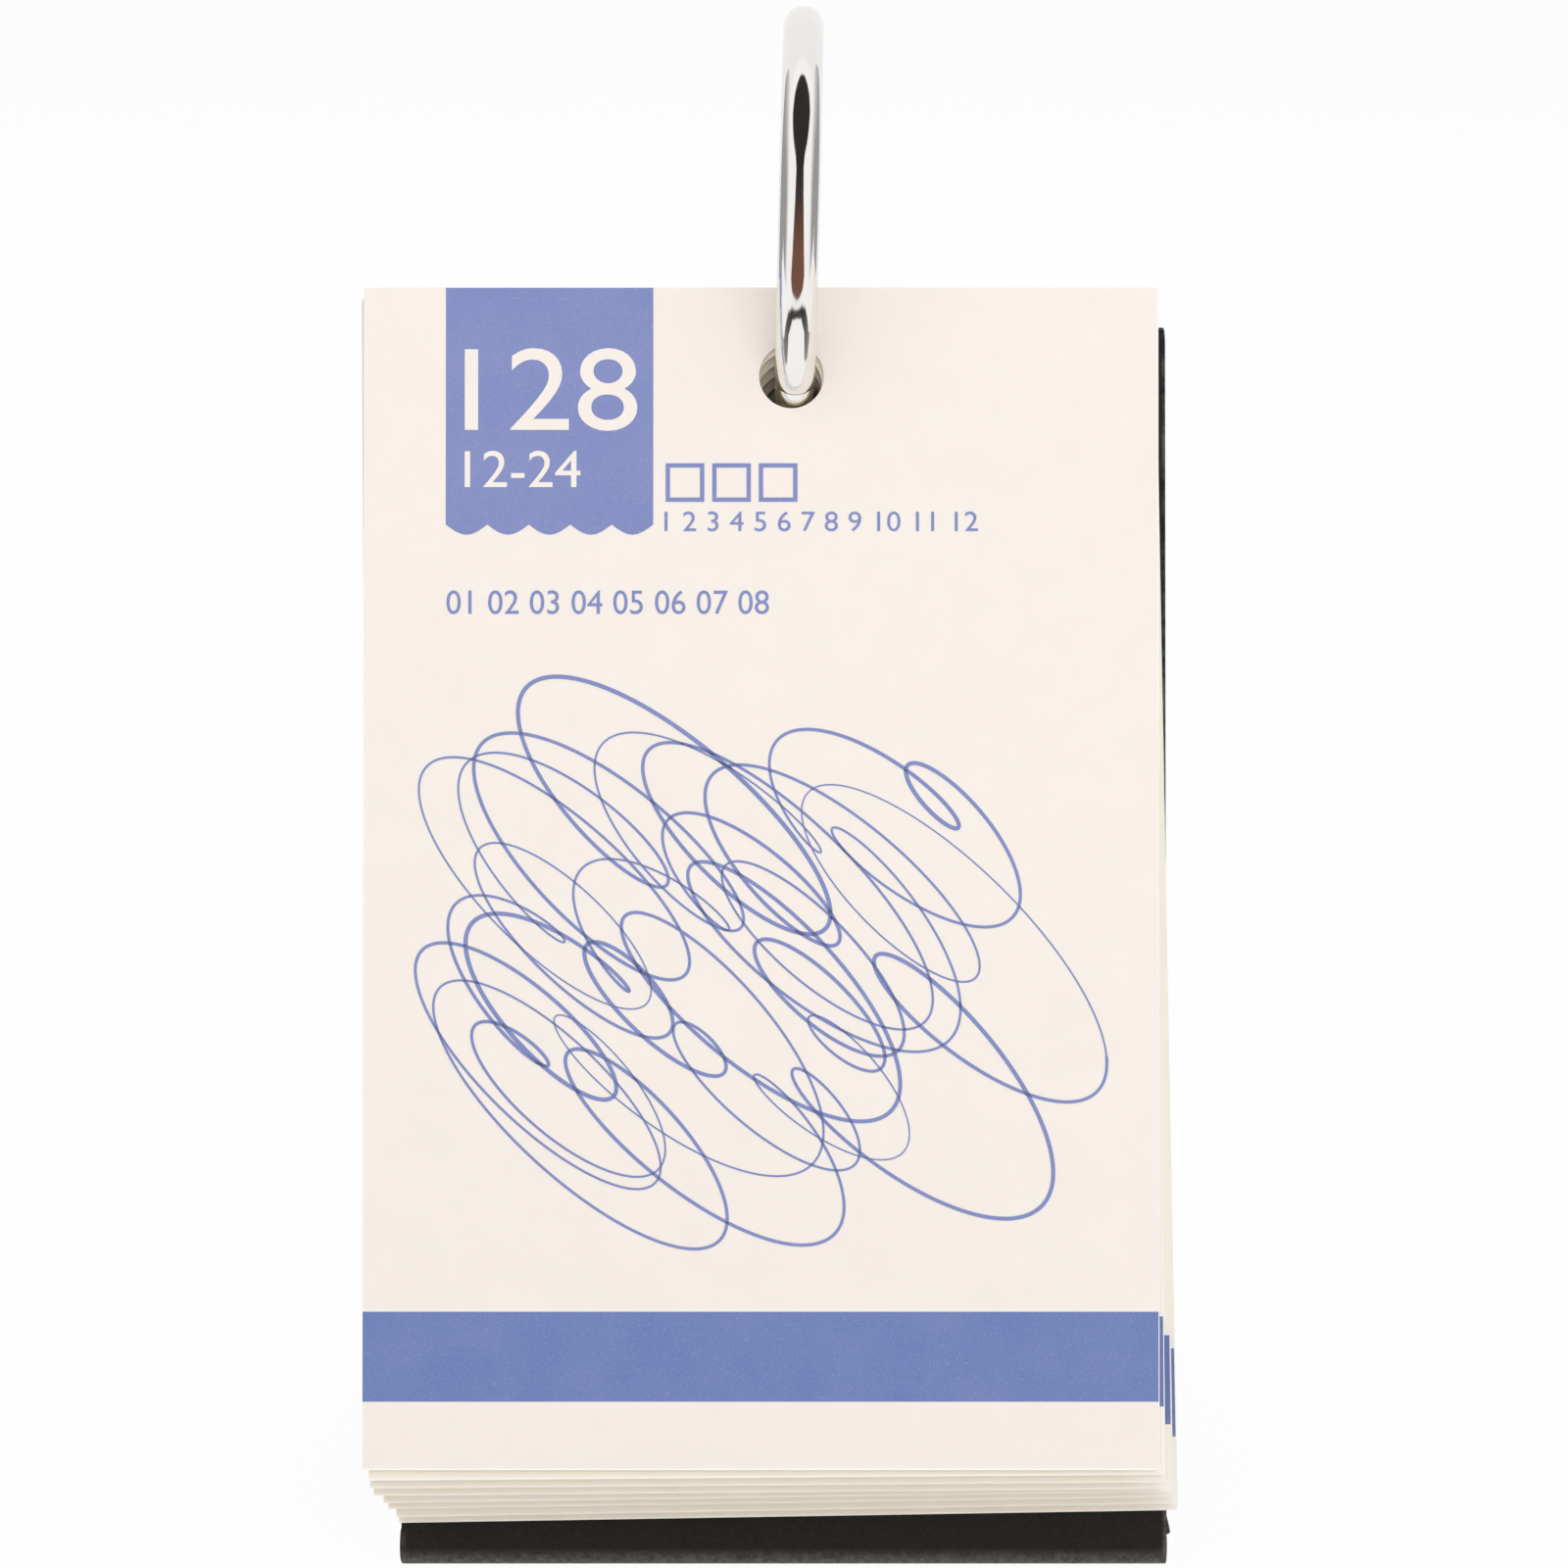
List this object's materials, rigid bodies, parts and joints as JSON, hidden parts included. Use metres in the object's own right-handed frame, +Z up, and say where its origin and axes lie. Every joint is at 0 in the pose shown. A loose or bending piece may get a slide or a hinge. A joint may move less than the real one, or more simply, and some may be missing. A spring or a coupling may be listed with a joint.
{
  "type": "desk calendar",
  "caption": "Desk calendar: a pad of loose leaves on a hinged metal book ring, hung over a folding board stand.",
  "frame": {"origin": "middle of the stand's flat underside", "axes": "+Z up, the leaves face -Y, +X to the right of someone who reads the calendar"},
  "size_m": [0.0727, 0.0751, 0.1376],
  "materials": {
    "leaf_card": "matte, uncoated",
    "stand_board": "paper-wrapped, scuffed at the folds",
    "ring_nickel": "polished nickel plate"
  },
  "bodies": {
    "front_board": {"front_panel": "stand_board"},
    "rear_board": {"rear_panel": "stand_board"},
    "base_board": {"base_panel": "stand_board"},
    "lower_half_ring": {"ring_lower_half": "ring_nickel", "ring_hinge_rivet": "ring_nickel"},
    "upper_half_ring": {"ring_upper_half": "ring_nickel"},
    "front_leaf": {"leaf_01": "leaf_card"},
    "leaf_bundle_1": {"leaf_02": "leaf_card", "leaf_03": "leaf_card", "leaf_04": "leaf_card"},
    "leaf_bundle_2": {"leaf_05": "leaf_card", "leaf_06": "leaf_card", "leaf_07": "leaf_card", "leaf_08": "leaf_card"},
    "leaf_bundle_3": {"leaf_09": "leaf_card", "leaf_10": "leaf_card", "leaf_11": "leaf_card", "leaf_12": "leaf_card", "leaf_13": "leaf_card"},
    "leaf_bundle_4": {"leaf_14": "leaf_card", "leaf_15": "leaf_card", "leaf_16": "leaf_card", "leaf_17": "leaf_card", "leaf_18": "leaf_card", "leaf_19": "leaf_card"},
    "leaf_bundle_5": {"leaf_20": "leaf_card", "leaf_21": "leaf_card", "leaf_22": "leaf_card", "leaf_23": "leaf_card", "leaf_24": "leaf_card", "leaf_25": "leaf_card"},
    "leaf_bundle_6": {"leaf_26": "leaf_card", "leaf_27": "leaf_card", "leaf_28": "leaf_card", "leaf_29": "leaf_card", "leaf_30": "leaf_card", "leaf_31": "leaf_card"},
    "leaf_bundle_7": {"leaf_32": "leaf_card", "leaf_33": "leaf_card", "leaf_34": "leaf_card", "leaf_35": "leaf_card", "leaf_36": "leaf_card", "leaf_37": "leaf_card"}
  },
  "joints": [
    {"name": "rear_board_fold", "type": "hinge", "parent": "front_board", "child": "rear_board", "pos_m": [0, -0.0026, 0.10679], "axis": [-1, 0, 0], "range_deg": [0, 27]},
    {"name": "base_board_fold", "type": "hinge", "parent": "front_board", "child": "base_board", "pos_m": [0, -0.03075, 0.00175], "axis": [-1, 0, 0], "range_deg": [0, 105]},
    {"name": "ring_turn", "type": "hinge", "parent": "front_board", "child": "lower_half_ring", "pos_m": [0.00132, -0.002, 0.11697], "axis": [0.9997, -0.0063, -0.0236], "range_deg": [-20, 20]},
    {"name": "ring_open", "type": "hinge", "parent": "lower_half_ring", "child": "upper_half_ring", "pos_m": [0.00167, 0.01344, 0.12777], "axis": [0.9997, -0.0063, -0.0236], "range_deg": [-90, 0]},
    {"name": "leaf_bundle_7_flip", "type": "hinge", "parent": "front_board", "child": "leaf_bundle_7", "pos_m": [0.00132, -0.002, 0.11697], "axis": [-0.9997, 0.0063, 0.0236], "range_deg": [0, 240]},
    {"name": "leaf_bundle_6_flip", "type": "hinge", "parent": "leaf_bundle_7", "child": "leaf_bundle_6", "pos_m": [0.00132, -0.002, 0.11697], "axis": [-0.9997, 0.0063, 0.0236], "range_deg": [0, 240]},
    {"name": "leaf_bundle_5_flip", "type": "hinge", "parent": "leaf_bundle_6", "child": "leaf_bundle_5", "pos_m": [0.00132, -0.002, 0.11697], "axis": [-0.9997, 0.0063, 0.0236], "range_deg": [0, 240]},
    {"name": "leaf_bundle_4_flip", "type": "hinge", "parent": "leaf_bundle_5", "child": "leaf_bundle_4", "pos_m": [0.00132, -0.002, 0.11697], "axis": [-0.9997, 0.0063, 0.0236], "range_deg": [0, 240]},
    {"name": "leaf_bundle_3_flip", "type": "hinge", "parent": "leaf_bundle_4", "child": "leaf_bundle_3", "pos_m": [0.00132, -0.002, 0.11697], "axis": [-0.9997, 0.0063, 0.0236], "range_deg": [0, 240]},
    {"name": "leaf_bundle_2_flip", "type": "hinge", "parent": "leaf_bundle_3", "child": "leaf_bundle_2", "pos_m": [0.00132, -0.002, 0.11697], "axis": [-0.9997, 0.0063, 0.0236], "range_deg": [0, 240]},
    {"name": "leaf_bundle_1_flip", "type": "hinge", "parent": "leaf_bundle_2", "child": "leaf_bundle_1", "pos_m": [0.00132, -0.002, 0.11697], "axis": [-0.9997, 0.0063, 0.0236], "range_deg": [0, 240]},
    {"name": "front_leaf_flip", "type": "hinge", "parent": "leaf_bundle_1", "child": "front_leaf", "pos_m": [0.00132, -0.002, 0.11697], "axis": [-0.9997, 0.0063, 0.0236], "range_deg": [0, 240]}
  ],
  "couplings": [
    {"joint": "base_board_fold", "follows": "rear_board_fold", "ratio": 3.88}
  ]
}
